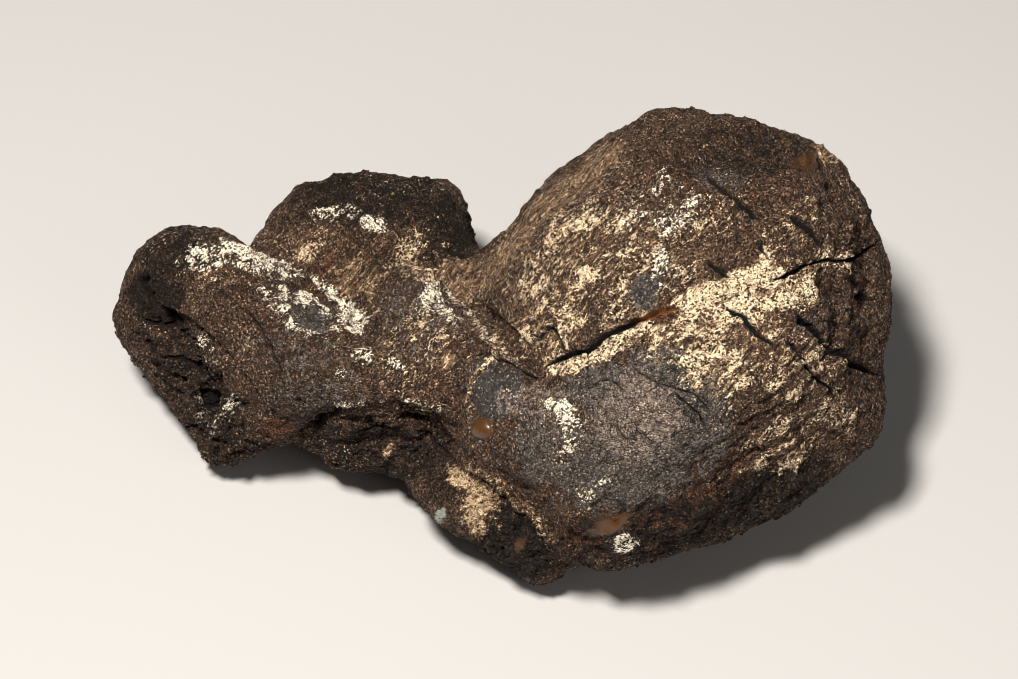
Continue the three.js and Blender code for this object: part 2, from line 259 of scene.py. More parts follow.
nodule = even_skin(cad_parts["nodule"], SKIN_SIZE)
form = bmesh.new()
form.from_mesh(nodule.data)
refine(form, facings(form)[:, 2] > FACING)
seen = as_seen(positions(form.verts))
chosen = near_cracks(seen, CRACK_MARGIN)
for _, _, run in LEDGES:
    chosen |= along(run, seen)[0] < LEDGE_MARGIN
chosen |= np.linalg.norm(seen - BEAD, axis=1) < BEAD_RADIUS + BEAD_MARGIN
refine(form, chosen & (facings(form)[:, 2] > 0))
chosen = near_cracks(as_seen(positions(form.verts)), CLOSE_MARGIN)
refine(form, chosen & (facings(form)[:, 2] > 0))

# ---------------------------------------------------------------------------- weathered skin
# Air and water have turned the outer millimetre to manganese oxides, which crumble in grains
# and lumps, part in cracks, and flake off the broken places. All of it is true relief.
SWELL_SHIFT = 31.7     # the grids of the swells and of the chips both lie off the origin
CHIP_SHIFT = 57.3
SWELL_GAIN = 1.6       # brings the swells to about -1 to 1
SPOT_REACH = 1.2       # mm round a spot in which its skin is looked for


def hashed(cell, seed):
    """Three steady random numbers from -1 to 1 for each cell of a grid. The large odd numbers
    only stir the bits."""
    key = (cell * np.array([73856093, 19349663, 83492791])).sum(axis=-1) + seed * 2654435761
    key = (key ^ (key >> 15)) * 2246822519 & 0xFFFFFFFF
    key = (key ^ (key >> 13)) * 3266489917 & 0xFFFFFFFF
    key ^= key >> 16
    return np.stack([key & 1023, (key >> 10) & 1023, (key >> 20) & 1023], axis=-1) / 511.5 - 1


def swells(points, size, seed):
    """Smooth noise from about -1 to 1, with a swell about every size."""
    at = points / size + SWELL_SHIFT
    cell = np.floor(at).astype(np.int64)
    inside = at - cell
    fade = inside ** 3 * (inside * (inside * 6 - 15) + 10)
    total = np.zeros(len(points))
    for corner in product((0, 1), repeat=3):
        corner = np.array(corner)
        slope = hashed(cell + corner, seed)
        height = ((inside - corner) * slope).sum(axis=1)
        weight = np.where(corner == 1, fade, 1 - fade).prod(axis=1)
        total += weight * height
    return total * SWELL_GAIN


def chips(points, size, seed):
    """Chips side by side: a height tilted every way over them, from about -0.5 to 0.5, and the
    distance into each chip from its edge, both in chip sizes."""
    at = points / size + CHIP_SHIFT
    cell = np.floor(at).astype(np.int64)
    first = np.full(len(points), np.inf)
    second = np.full(len(points), np.inf)
    height = np.zeros(len(points))
    for step in product((-1, 0, 1), repeat=3):
        grain = cell + np.array(step)
        offset = at - grain - 0.5 - 0.45 * hashed(grain, seed)
        distance = np.linalg.norm(offset, axis=1)
        tilted = (offset * hashed(grain, seed + 1)).sum(axis=1)
        height = np.where(distance < first, tilted, height)
        second = np.minimum(second, np.maximum(first, distance))
        first = np.minimum(first, distance)
    return height, second - first


def rising(value, low, high):
    """0 up to the low value, 1 from the high one on, and smooth between."""
    share = np.clip((value - low) / (high - low), 0, 1)
    return share * share * (3 - 2 * share)


class Face:
    """The points of the nodule on the display face, and patches over them."""

    def __init__(self, form):
        self.points = positions(form.verts)
        self.out = facings(form)
        self.seen = as_seen(self.points)
        self.front = rising(self.out[:, 2], -0.15, 0.1)
        self.ragged = 0.5 * swells(self.points, 4, 11) + 0.3 * swells(self.points, 1.7, 12)

    def depth_at(self, at):
        """How far out the skin seen at a spot lies."""
        close = (np.abs(self.seen - at) < SPOT_REACH).all(axis=1) & (self.out[:, 2] > 0)
        return self.points[close, 2].max()

    def within(self, far, ragged):
        """1 well inside a reach of 1, falling to 0 over a ragged edge."""
        return (1 - rising(far + ragged * self.ragged, 0.55, 1.15)) * self.front

    def patch(self, at, reach, turn=0, ragged=0.5, depth=14):
        """1 inside an oval patch round a spot, falling to 0 over a ragged edge."""
        turn = math.radians(turn)
        across = np.array([[math.cos(turn), math.sin(turn)], [-math.sin(turn), math.cos(turn)]])
        offset = (self.seen - at) @ across.T / reach
        deep = (self.points[:, 2] - self.depth_at(at)) / depth
        return self.within(np.sqrt((offset ** 2).sum(axis=1) + deep ** 2), ragged)

    def band(self, run, width, ragged=0.5, depth=16):
        """1 along a run, falling to 0 at its ragged edges."""
        distance = along(run, self.seen)[0]
        deep = np.zeros(len(distance))
        near = distance < 2.5 * width
        middle = self.depth_at(run[len(run) // 2])
        deep[near] = (self.points[near, 2] - middle) / depth
        return self.within(np.sqrt((distance / width) ** 2 + deep ** 2), ragged)


def most(*masks):
    """The greatest of the masks at each point."""
    return np.maximum.reduce(masks)


# Where the skin is what: each mask is a set of patches on the display face, at (u, v) in
# millimetres, that says how much of the skin has that finish.
face = Face(form)
arm_end = face.patch((-62, -12), (24, 10), turn=-54, ragged=0.3)
worn = most(
    face.patch((25.6, -15.5), (10, 10.5), ragged=0.5),
    face.patch((8, -14), (8, 5), turn=-20) * 0.6,
    face.patch((1.4, -12.6), (5.4, 3.8), turn=20, ragged=1.2) * 0.6,
)
grey = most(
    face.patch((33, -7.5), (11, 7), turn=-20),
    face.patch((19, -9), (10, 6)),
    face.patch((22, -27), (20, 12), turn=10) * 0.85,
    face.patch((38, -18), (9, 12)) * 0.85,
    face.patch((27, 10), (3.4, 5), turn=-20),
    face.patch((8, -22), (12, 10), turn=30) * 0.7,
    face.patch((-39.5, 5.2), (5, 4)),
    face.patch((-39, -12), (12, 5)) * 0.55,
    face.patch((42, 33), (6, 4), ragged=0.9) * 0.6,
    face.patch((-3, -9), (8, 8)) * 0.6,
    face.patch((-42, -4), (14, 9), turn=-30) * 0.35,
    face.patch((-18, 2), (8, 7)) * 0.4,
    face.patch((-20, 7), (7, 8), turn=-30, ragged=0.9) * 0.5,
    face.patch((62, 4), (8, 8)) * 0.35,
)
glassy = most(
    face.patch((-2.4, -10.6), (7, 6.4), turn=-25, ragged=0.4),
    face.patch((27, 10), (2.2, 3.6), turn=-20) * 0.8,
    face.patch((42, 33.5), (5, 3), ragged=0.9) * 0.4,
)
cream = most(
    face.band([(34.8, 7), (42, 10.5), (48, 13), (54, 11.5)], 2.5, ragged=0.8),
    face.band([(34.8, 6), (42, 9), (50, 11), (58, 9)], 4.4, ragged=0.8) * 0.62,
    face.patch((51.5, 16), (2, 4), turn=15, ragged=0.9) * 0.8,
    face.band([(10, -6), (18, -2.5), (26, 2), (34.8, 6)], 2.4) * 0.62,
    face.band([(54, 10.5), (61, 14), (67, 16)], 2.4) * 0.5,
    face.patch((30, 1.5), (18, 6), turn=-10) * 0.46,
    face.patch((41, -4), (12, 8), turn=-40) * 0.6,
    face.patch((47, 4), (12, 8)) * 0.5,
    face.patch((60, -6), (16, 9), turn=-15) * 0.42,
    face.patch((9, 13), (24, 16), turn=38) * 0.46,
    face.patch((27, 18), (20, 14), turn=35) * 0.38,
    face.patch((57, -20), (17, 8), turn=25) * 0.4,
    face.patch((9.8, -5), (4, 3)) * 0.5,
    face.patch((-38.5, 19), (6, 5)) * 0.36,
    face.patch((-26, 14), (8, 6)) * 0.26,
    face.patch((-18, 18), (8, 6)) * 0.3,
    face.patch((-58, 14), (10, 4)) * 0.3,
    face.patch((-20, -1), (14, 9)) * 0.24,
    face.band([(-1.6, -2.9), (-4.4, -5), (-7.4, -8), (-8.8, -12.1), (-8, -15)], 0.6,
              ragged=0.6) * 0.55,
    face.band([(-22, 14.3), (-15.8, 10.9), (-7.8, 3.5), (-1, -2.5), (6, -7.5)], 1.6) * 0.5,
    face.patch((60, 20), (14, 10)) * 0.3,
)
cream *= 1 - 0.85 * face.patch((27, 10), (3.6, 5), turn=-20)
cream *= 1 - 0.75 * face.patch((31.4, 5.4), (4, 1.6), turn=20)
tan = most(
    face.band([(-6, 15), (6, 26.5), (18, 37)], 7) * 0.6,
    face.patch((-31, 12), (7, 5)) * 0.6,
    face.patch((-10, 13), (8, 6)) * 0.6,
    face.patch((-30.6, 8), (4, 6), turn=-10) * 0.25,
    face.patch((8, 0.5), (8, 6)) * 0.35,
    face.patch((-12.4, -4.4), (2, 1.4), turn=40) * 0.8,
    cream * 0.8,
)
white = most(
    face.band([(-63, 15.9), (-58, 16.5), (-52.6, 16), (-48, 14.8), (-43.4, 12.6)], 2.6,
              ragged=0.9) * 0.62,
    face.patch((-50, 15.6), (7, 2.6), turn=-12, ragged=0.8) * 0.8,
    (face.patch((-39, 6.2), (10.6, 7.6), turn=-25, ragged=0.8)
     - face.patch((-40, 4.8), (5, 3), turn=-20, ragged=0.8)) * 0.75,
    face.band([(-41, 12.3), (-35.6, 10), (-32.6, 6.4), (-30, 3.3)], 2.6, ragged=0.8) * 0.95,
    face.patch((-41, 8.3), (2.4, 1.6), ragged=0.3) * 0.95,
    face.patch((-63, 19), (3.4, 1.2), turn=12) * 0.5,
    face.band([(-38, 25), (-32, 25.3), (-26, 22.6)], 2) * 0.66,
    face.patch((-14, 7.2), (5.4, 3), turn=-40, ragged=0.8) * 0.7,
    face.band([(-10.6, 4.8), (-6, 2.3), (-3, -1.5)], 1.2, ragged=0.8) * 0.5,
    face.patch((31, 26.5), (8, 8), ragged=0.8) * 0.5,
    face.patch((31, 14), (4, 6)) * 0.45,
    face.patch((-29.4, -3.5), (3, 2.4), ragged=0.7) * 0.8,
    face.patch((-22.4, -5.2), (3, 1.4), turn=-40, ragged=0.3) * 0.75,
    face.patch((-33.6, -6.9), (1.5, 1.2)) * 0.6,
    face.patch((10, -13.4), (4.4, 1.7), turn=-8, ragged=0.8) * 0.75,
    face.patch((11.8, -17), (3.2, 3.2), turn=30, ragged=0.9) * 0.72,
    face.patch((12, -21), (1.6, 2.6), ragged=0.8) * 0.66,
    face.patch((17, -30.5), (5, 3.4), ragged=0.9) * 0.4,
    face.patch((22.8, -40), (2.8, 1.7), turn=15, ragged=0.4) * 0.8,
    face.band([(-34.4, -13), (-29.9, -12), (-25, -11.8), (-20.8, -11.7), (-14, -14.4)], 0.8,
              ragged=0.8) * 0.5,
    face.patch((-60.5, -15.5), (5, 2.6), turn=-50, ragged=0.9) * 0.5,
    face.patch((-57.4, -13.7), (4, 3), ragged=0.9) * 0.55,
    face.patch((-63, -2), (6, 4), turn=-30, ragged=0.9) * 0.26,
)
ochre = most(
    face.patch((20.6, -36.8), (4, 2), turn=20, ragged=0.8),
    face.patch((-5.2, -17.9), (2.6, 2.6), ragged=0.1),
    face.patch((10.6, -33.7), (1.6, 1), ragged=0.8) * 0.6,
    face.patch((59.4, 35.3), (3.4, 2), ragged=0.9) * 0.7,
    face.patch((2.6, -40.4), (1.2, 1.6), turn=-30, ragged=0.9) * 0.8,
)
amber = most(
    face.patch((-6, -31), (3.4, 8), turn=38, ragged=0.8) * 0.8,
    face.patch((-7, -34.4), (3, 5.4), turn=18, ragged=0.7) * 0.95,
    face.patch((-28.4, 7.2), (3.4, 2), turn=48, ragged=0.3) * 0.75,
    face.patch((-9.4, -28), (4.6, 2.4), turn=-38, ragged=0.5),
    face.band([(-9.6, -24.2), (-3, -27.5), (2.4, -33), (8, -39.5)], 0.6, ragged=0.3) * 0.36,
    face.patch((63.8, 37.4), (4, 2.4), turn=-35) * 0.62,
    face.patch((-24.2, -22.4), (1, 2.4), turn=-15) * 0.8,
)
verdigris = most(
    face.patch((-13.8, -35), (1.5, 1), turn=60, ragged=0.9),
    face.patch((-9.6, -37), (0.8, 0.8)) * 0.6,
)
rusty = most(
    face.patch((-32, 5), (3.6, 7), turn=-20) * 0.9,
    face.patch((-36, 12), (6, 5)) * 0.6,
    face.patch((-9, 14), (8, 5)) * 0.3,
    face.band([(-4, 3), (2, -1.5), (8, -5.5)], 2.4) * 0.4,
    face.patch((31, 5.8), (8, 2.4), turn=20),
    face.patch((32, -37), (28, 9), turn=8),
    face.patch((4, -30), (9, 6)) * 0.3,
    face.patch((-68, 2), (5, 8), turn=-30) * 0.3,
    face.patch((-46.4, -18), (4, 2.4)),
    face.patch((50, -28), (20, 12)) * 0.6,
    face.patch((44, 34), (24, 8)) * 0.3,
)
# Blackened oxide, and painted shade where the skin faces away from the light: the arm's broken end,
# the underside, the heel, the knuckle's wall, and the top, right end and bottom of the head.
dark_and_shaded = most(
    arm_end * 0.55,
    face.patch((1.5, -41), (9, 8), turn=-30, depth=30),
    face.patch((-1, -36.5), (3.6, 5), turn=40),
    face.patch((-26, -22), (20, 9), turn=-5) * 0.62,
    face.patch((-71, 7.5), (8, 7), turn=-35),
    face.patch((-41, -13), (11, 4)) * 0.35,
    face.patch((50, 38), (22, 8)) * 0.5,
    face.patch((63, 8), (14, 24)) * 0.12,
    face.patch((-28, 29), (24, 7)) * 0.75,
    face.patch((-11, 22), (8, 10)) * 0.85,
    face.patch((36, -38), (30, 8)) * 0.7,
    face.patch((52, -31), (18, 9), turn=20) * 0.75,
    face.patch((-14, -26), (5, 9), turn=20) * 0.6,
    face.patch((-68, 18), (10, 8)) * 0.7,
)
lined = most(
    face.patch((52, -22), (26, 14), turn=28, ragged=0.3),
    face.patch((62, -8), (16, 9), turn=28, ragged=0.3),
)


# Round the back the same finishes lie in broad patches.
behind = 1 - face.front
cream = most(cream, 0.34 * behind * rising(swells(face.points, 15, 81), 0.1, 0.5))
white = most(white, 0.4 * behind * rising(swells(face.points, 9, 82), 0.45, 0.7))
grey = most(grey, 0.8 * behind * rising(swells(face.points, 17, 83), 0.05, 0.4))
rusty = most(rusty, 0.6 * behind * rising(swells(face.points, 14, 84), 0.05, 0.5))
dark_and_shaded = most(dark_and_shaded, 0.7 * behind * rising(swells(face.points, 12, 85), 0.1, 0.5))


def plates(points, size, steps, seed):
    """Flat plates one above another with steep edges, from about -0.5 to 0.5."""
    height = (swells(points, size, seed) + 0.12 * swells(points, 1.2, seed + 50)) * steps
    level = np.floor(height)
    return (level + rising(height - level, 0.75, 1)) / steps - 0.5 / steps


def squeezed(angle, long, deep=0, tall=1):
    """The points squeezed along a line at an angle across the display face, so that a pattern
    over them is drawn out along it."""
    turn = math.radians(angle)
    across = points @ np.array([-math.sin(turn), math.cos(turn), 0.3 * deep])
    run_on = points @ np.array([math.cos(turn), math.sin(turn), 0])
    return np.stack([across, run_on / long, points[:, 2] / tall], axis=1)


def layered(angle, long, deep, size, seed):
    """Streaks of a size in millimetres at an angle across the display face. They are drawn out
    long times, and lean with the depth of the skin where deep is 1."""
    return swells(squeezed(angle, long, deep, tall=6), size, seed)


points = face.points
bent = points + 0.8 * np.stack([swells(points, 2.5, 31), swells(points, 2.5, 32),
                                swells(points, 2.5, 33)], axis=1)
tough = most(worn, glassy)
smoother = 1 - 0.7 * tough
coarse = most(
    face.patch((66, 14), (9, 20), ragged=0.4) * 0.6,
    face.patch((44, 38), (20, 7), ragged=0.4) * 0.7,
    face.patch((-30, 30), (18, 6)) * 0.6,
    arm_end,
    face.patch((0, -38), (10, 8)),
)
flaky = most(
    face.patch((-26, -21), (16, 6), turn=-5) * 0.45,
    arm_end,
    face.patch((64, 12), (12, 22)) * 0.2,
    face.patch((-14, 16), (9, 8)) * 0.5,
)

# The relief starts with chips of three sizes, parted by grooves, and with low swells. Sizes,
# heights and depths are in millimetres.
CHIPS = ((7, 0.7, 2), (3.2, 0.42, 5), (1.6, 0.36, 8))      # size, height and seed
GROOVE_DEPTH = 0.25
SWELL_HEIGHT = 0.18
relief = np.zeros(len(points))
grooved = rising(swells(points, 9, 6), -0.1, 0.4)
for size, height, seed in CHIPS:
    tilted, inside = chips(bent, size, seed)
    groove = GROOVE_DEPTH * (1 - rising(inside, 0, 0.12)) * (0.3 + 0.7 * grooved)
    relief += height * tilted * (smoother + coarse)
    relief -= groove * (smoother + coarse)
relief += SWELL_HEIGHT * swells(points, 1.2, 4) * smoother

# At the back the skin has parted into broad plates, and flaky places lie in smaller ones.
PARTING_SIZE = 19
PARTING_DEPTH = 1.5
PLATE_HEIGHT = 2.2
tilted, inside = chips(bent, PARTING_SIZE, 86)
parted = behind * (1 - rising(inside, 0, 0.07)) * rising(swells(points, 11, 87), -0.1, 0.25)
relief -= PARTING_DEPTH * parted
relief += PLATE_HEIGHT * plates(points, 7, 4, 16) * flaky

# The broken end of the arm is eaten into holes.
HOLE_SIZE = 3.2
HOLE_DEPTH = 1.8
tilted, inside = chips(points, HOLE_SIZE, 7)
holes = arm_end * HOLE_DEPTH * rising(inside, 0.05, 0.4)
relief -= holes * rising(swells(points, 5, 8), -0.2, 0.2)

# Fibres and thin layers run across parts of the skin, and stand in ribs at the arm's end.
fibres = layered(27, 7, 1, 1.5, 13)
relief += 0.45 * fibres * lined
relief += 0.4 * layered(46, 8, 0, 1.4, 17) * face.band([(-6, 15), (6, 26.5), (18.5, 37)], 8)
relief += 1.0 * layered(-32, 5, 1, 1.8, 18) * arm_end
relief += 0.9 * layered(14, 6, 1, 1.6, 19) * face.patch((-26, -22), (18, 8), turn=-5)

from_bead = np.linalg.norm(face.seen - BEAD, axis=1) / BEAD_RADIUS
bead = np.sqrt(np.clip(1 - from_bead ** 2, 0, 1)) * (face.out[:, 2] > 0)
relief = relief * (1 - rising(bead, 0, 0.3)) + BEAD_HEIGHT * bead

# Crusts stand a little proud of the skin, in clumps.
CREAM_THICKNESS = 0.25
WHITE_THICKNESS = 0.4
drawn = squeezed(42, long=1.7)
clumps = 0.45 * swells(drawn, 4.6, 40) + 0.35 * swells(drawn, 2, 41) + 0.3 * swells(drawn, 1, 42)
streaked = cream * (1 + 0.9 * fibres * lined)
clumped = {name: rising(mask + 0.9 * clumps, 0.12, 0.95) * rising(mask, 0, 0.25)
           for name, mask in (("cream", streaked), ("white", white))}
relief += CREAM_THICKNESS * clumped["cream"] + WHITE_THICKNESS * clumped["white"]
# Painted shade in the hollows of the relief, darkened into the colour below.
hollow_shade = rising(-relief, 0.2, 1)

# Broad swells, ridges and troughs.
relief += 0.6 * swells(points, 12, 1) + 0.45 * swells(points, 6, 15)
for height, width, run in FOLDS:
    distance, share, _ = along(run, face.seen + 0.6 * bent[:, :2] - 0.6 * points[:, :2])
    ends = rising(share, 0, 0.15) * rising(share, 1, 0.85)
    relief += height * (1 - rising(distance, 0, width)) * ends * face.front * (0.8 + 0.6 * clumps)

# Cracks and ledges wander a little off their runs. A crack narrows to END_WIDTH of its width at
# its ends, and a ledge fades out there.
END_WIDTH = 0.15
LEAST_WIDTH = 0.05     # mm, so that no crack is divided by nothing
warped = face.seen + np.stack([
    0.35 * swells(points, 2.6, 21) + 0.16 * swells(points, 0.9, 22),
    0.35 * swells(points, 2.6, 23) + 0.16 * swells(points, 0.9, 24),
], axis=1)
opened = np.zeros(len(points))
beside = np.zeros(len(points))
for width, depth, run in CRACKS:
    distance, share, _ = along(run, warped)
    taper = np.minimum(1, 6 * np.minimum(share, 1 - share) + END_WIDTH)
    wide = width * taper * (1 + 0.3 * swells(points, 3, 25))
    gape = np.clip(1 - distance / np.maximum(wide, LEAST_WIDTH), 0, 1)
    deep = depth * taper * gape ** 0.7 * (face.out[:, 2] > 0)
    opened = np.maximum(opened, deep)
    beside = np.maximum(beside, 1 - rising(distance - wide, 0.1, 0.5))
for step, reach, run in LEDGES:
    distance, share, right = along(run, warped)
    ends = rising(share, 0, 0.1) * rising(share, 1, 0.9)
    drop = step * np.clip(1 - distance / reach, 0, 1) * right * ends * (face.out[:, 2] > 0)
    relief -= drop * (face.front > 0.5)
relief -= opened

# The underside rests flat, and nothing reaches past the solid's box.
RESTING = 0.4          # mm above the floor under which the skin is laid flat on it
moved = points + relief[:, None] * face.out
placed = (moved @ FACE_AXES + FACE_ORIGIN) * MILLIMETRE
low, high = (np.array(corner) for corner in cad_box)
underneath = (points @ FACE_AXES + FACE_ORIGIN)[:, 2] < RESTING
placed[underneath, 2] = 0
placed = np.clip(placed, low, high)
for corner, place in zip(form.verts, placed):
    corner.co = place
form.to_mesh(nodule.data)
form.free()
nodule.data.polygons.foreach_set("use_smooth", [True] * len(nodule.data.polygons))

# The masks that the finish reads, kept as attributes of the points.
dust = rising(swells(points, 7, 61) + 0.5 * clumps, 0.1, 0.8)
# Pale flecks, partly cream grains and partly painted sparkle.
fleck_and_sparkle_share = 0.016 + 0.09 * rising(swells(points, 11, 62) + 0.8 * clumps, 0.1, 0.9)
masks = {
    "tan": tan,
    "rusty": rusty,
    "cream_clumps": clumped["cream"],
    "white_clumps": clumped["white"],
    "grey": grey,
    "worn": worn,
    "glassy": glassy,
    "ochre": ochre,
    "dark_and_shaded": dark_and_shaded,
    "amber": amber,
    "verdigris": verdigris,
    "opened": rising(opened, 0.1, 0.8),
    "hollow_shade": hollow_shade,
    "tint": np.full(len(points), 0.5),
    "dusty": dust * (1 - dark_and_shaded) * (1 - rusty),
    "flecked_and_sparkle": fleck_and_sparkle_share * (1 - 0.8 * most(dark_and_shaded, rusty)),
    "crazed": most(0.1 + 0.7 * rising(swells(points, 7, 63) + 0.4 * clumps, 0, 0.5),
                   (0.6 + 0.5 * swells(points, 5, 64)) * most(worn, grey)),
}
for name, mask in masks.items():
    attribute = nodule.data.attributes.new(name, "FLOAT", "POINT")
    attribute.data.foreach_set("value", np.clip(mask, 0, 1).astype(np.float32))


def new_group(name, inputs, outputs):
    """An empty shader group with the named number inputs and outputs."""
    group = bpy.data.node_groups.new(name, "ShaderNodeTree")
    for socket, value in inputs.items():
        made = group.interface.new_socket(socket, in_out="INPUT", socket_type="NodeSocketFloat")
        made.default_value = value
    for socket in outputs:
        group.interface.new_socket(socket, in_out="OUTPUT", socket_type="NodeSocketFloat")
    return group, group.nodes.new("NodeGroupInput"), group.nodes.new("NodeGroupOutput")


class Painter:
    """Adds nodes to a material or a group, and links them."""

    def __init__(self, tree):
        self.tree = tree

    def add(self, kind, settings=(), **inputs):
        """A node of the kind, with its settings and with a value or a link for each input."""
        node = self.tree.nodes.new("ShaderNode" + kind)
        for name, value in settings:
            setattr(node, name, value)
        for name, value in inputs.items():
            self.feed(node.inputs[name.replace("_", " ")], value)
        return node

    def feed(self, socket, value):
        """Links an output to the socket, or sets a plain value on it."""
        if isinstance(value, bpy.types.NodeSocket):
            self.tree.links.new(value, socket)
        else:
            socket.default_value = value

    def sum(self, operation, *values):
        """What an operation on numbers comes to."""
        node = self.tree.nodes.new("ShaderNodeMath")
        node.operation = operation
        for socket, value in zip(node.inputs, values):
            self.feed(socket, value)
        return node.outputs["Value"]

    def over(self, base, coat, share):
        """A colour under a share of a coat of another. The node's colour sockets come after
        those for numbers and vectors."""
        node = self.tree.nodes.new("ShaderNodeMix")
        node.data_type = "RGBA"
        for index, value in ((0, share), (6, base), (7, coat)):
            self.feed(node.inputs[index], value)
        return node.outputs[2]

    def scaled(self, colour, share):
        """A colour made darker or lighter."""
        node = self.tree.nodes.new("ShaderNodeVectorMath")
        node.operation = "SCALE"
        self.feed(node.inputs["Vector"], colour)
        self.feed(node.inputs["Scale"], share)
        return node.outputs["Vector"]

    def group(self, tree, **inputs):
        """The outputs of a shader group that is placed with its own values."""
        node = self.tree.nodes.new("ShaderNodeGroup")
        node.node_tree = tree
        for name, value in inputs.items():
            self.feed(node.inputs[name.replace("_", " ")], value)
        return node.outputs


# Ragged flecks of about the given size in millimetres, as a level that is above 1 - share over
# that share of the skin. They can be drawn out along a line at an angle across the display face.
flecks, given, made = new_group(
    "flecks", {"Fleck": 1.0, "Detail": 3.0, "Turn": 0.0, "Stretch": 1.0, "Shift": 0.0},
    ["Level"])
draw = Painter(flecks)
spot = draw.add("TexCoord").outputs["Object"]
faced = draw.add("Mapping", Vector=spot, Rotation=(-LEAN, 0, 0)).outputs["Vector"]
turn = draw.add("CombineXYZ", Z=given.outputs["Turn"]).outputs["Vector"]
stretch = draw.add("CombineXYZ", X=given.outputs["Stretch"], Y=1.0, Z=1.0).outputs["Vector"]
drawn_out = draw.add("Mapping", [("vector_type", "TEXTURE")], Vector=faced, Rotation=turn,
                     Scale=stretch, Location=given.outputs["Shift"]).outputs["Vector"]
noise = draw.add("TexNoise", Vector=drawn_out, Detail=given.outputs["Detail"], Roughness=0.75,
                 Scale=draw.sum("DIVIDE", 1000.0, given.outputs["Fleck"]))
draw.feed(made.inputs["Level"], draw.sum("MULTIPLY_ADD", noise.outputs["Fac"], 2.6, -0.8))

# A patchy cover: the flecks that hide the given share of the skin.
patchy, given, made = new_group(
    "patchy_cover", {"Level": 0.5, "Amount": 0.5, "Softness": 0.05}, ["Cover"])
draw = Painter(patchy)
edge = draw.sum("SUBTRACT", 1.0, given.outputs["Amount"])
shown = draw.add("MapRange", [("interpolation_type", "SMOOTHSTEP")], Value=given.outputs["Level"],
                 From_Min=draw.sum("SUBTRACT", edge, given.outputs["Softness"]),
                 From_Max=draw.sum("ADD", edge, given.outputs["Softness"]))
present = draw.sum("GREATER_THAN", given.outputs["Amount"], 0.02)
draw.feed(made.inputs["Cover"], draw.sum("MULTIPLY", shown.outputs["Result"], present))

# Broken skin: grains of about the given size in millimetres, with three random numbers for each
# and the distance from its middle, and a net of fine cracks round larger plates.
GRAIN_WANDER = 0.0003      # m
PLATE_WANDER = 0.0011      # m
broken, given, made = new_group(
    "broken_skin", {"Grain": 0.36, "Plate": 2.6, "Width": 0.1},
    ["Pick", "Shade", "Gleam", "Rim", "Cracks"])
draw = Painter(broken)
spot = draw.add("TexCoord").outputs["Object"]
wander = draw.add("TexNoise", Vector=spot, Scale=900.0, Detail=1.0).outputs["Color"]


def bent_by(amount):
    """The spot, moved about by up to the amount in metres."""
    bent = draw.add("VectorMath", [("operation", "MULTIPLY_ADD")])
    for socket, value in zip(bent.inputs, (wander, (amount, amount, amount), spot)):
        draw.feed(socket, value)
    return bent.outputs["Vector"]


cells = draw.add("TexVoronoi", Vector=bent_by(GRAIN_WANDER),
                 Scale=draw.sum("DIVIDE", 1000.0, given.outputs["Grain"]))
numbers = draw.add("SeparateColor", Color=cells.outputs["Color"])
net = draw.add("TexVoronoi", [("feature", "DISTANCE_TO_EDGE")], Vector=bent_by(PLATE_WANDER),
               Scale=draw.sum("DIVIDE", 1000.0, given.outputs["Plate"]))
thin = draw.add("MapRange", Value=net.outputs["Distance"], From_Max=given.outputs["Width"],
                To_Min=1.0, To_Max=0.0)
draw.feed(made.inputs["Pick"], numbers.outputs["Red"])
draw.feed(made.inputs["Shade"], numbers.outputs["Green"])
draw.feed(made.inputs["Gleam"], numbers.outputs["Blue"])
draw.feed(made.inputs["Rim"], cells.outputs["Distance"])
draw.feed(made.inputs["Cracks"], thin.outputs["Result"])

# The colours of the skin and its crusts, and of the painted glints and shade, in linear light.
BROWN = (0.098, 0.054, 0.030, 1)
DARK_BROWN = (0.045, 0.026, 0.015, 1)
CREAM = (0.72, 0.53, 0.33, 1)
PALE_CREAM = (0.93, 0.78, 0.54, 1)
TAN = (0.25, 0.155, 0.085, 1)
WHITE = (0.96, 0.86, 0.68, 1)
GREY_CRUST = (0.42, 0.34, 0.25, 1)
GREY = (0.108, 0.09, 0.075, 1)
WORN = (0.2, 0.152, 0.12, 1)
GLASSY = (0.044, 0.039, 0.036, 1)
# A painted glint on the lightest grains.
PAINTED_GLINT = (0.36, 0.3, 0.23, 1)
AMBER = (0.24, 0.145, 0.07, 1)
OCHRE = (0.052, 0.021, 0.005, 1)
RUST = (0.105, 0.042, 0.017, 1)
ORANGE = (0.34, 0.15, 0.05, 1)
VERDIGRIS = (0.42, 0.47, 0.4, 1)
# Blackish oxide, also used as the colour of painted shade.
SOOT_AND_SHADE = (0.019, 0.012, 0.007, 1)
BLACK = (0.006, 0.004, 0.003, 1)

skin_finish = bpy.data.materials.new("weathered_skin")
skin_finish.use_nodes = True
paint = Painter(skin_finish.node_tree)
shader = skin_finish.node_tree.nodes["Principled BSDF"]


def mask_of(name):
    """A mask of the skin, as the finish reads it."""
    return paint.add("Attribute", [("attribute_name", name)]).outputs["Fac"]


def flecks_of(fleck, detail, shift, turn=0, stretch=1.0):
    """The level of ragged flecks, turned and stretched on the display face."""
    return paint.group(flecks, Fleck=fleck, Detail=detail, Shift=shift, Turn=math.radians(turn),
                       Stretch=stretch)["Level"]


def cover(level, amount, share=1.0, softness=0.05):
    """The flecks that hide a share of the amount of the skin, which a number or a mask gives."""
    if isinstance(amount, str):
        amount = mask_of(amount)
    if share != 1.0:
        amount = paint.sum("MULTIPLY", amount, share)
    return paint.group(patchy, Level=level, Amount=amount, Softness=softness)["Cover"]


def times(*values):
    """The values multiplied by each other."""
    total = values[0]
    for value in values[1:]:
        total = paint.sum("MULTIPLY", total, value)
    return total


def greater(*values):
    """The greatest of the values."""
    total = values[0]
    for value in values[1:]:
        total = paint.sum("MAXIMUM", total, value)
    return total


def less(value, amount):
    """1 less an amount of the value."""
    return paint.sum("MULTIPLY_ADD", value, -amount, 1.0)


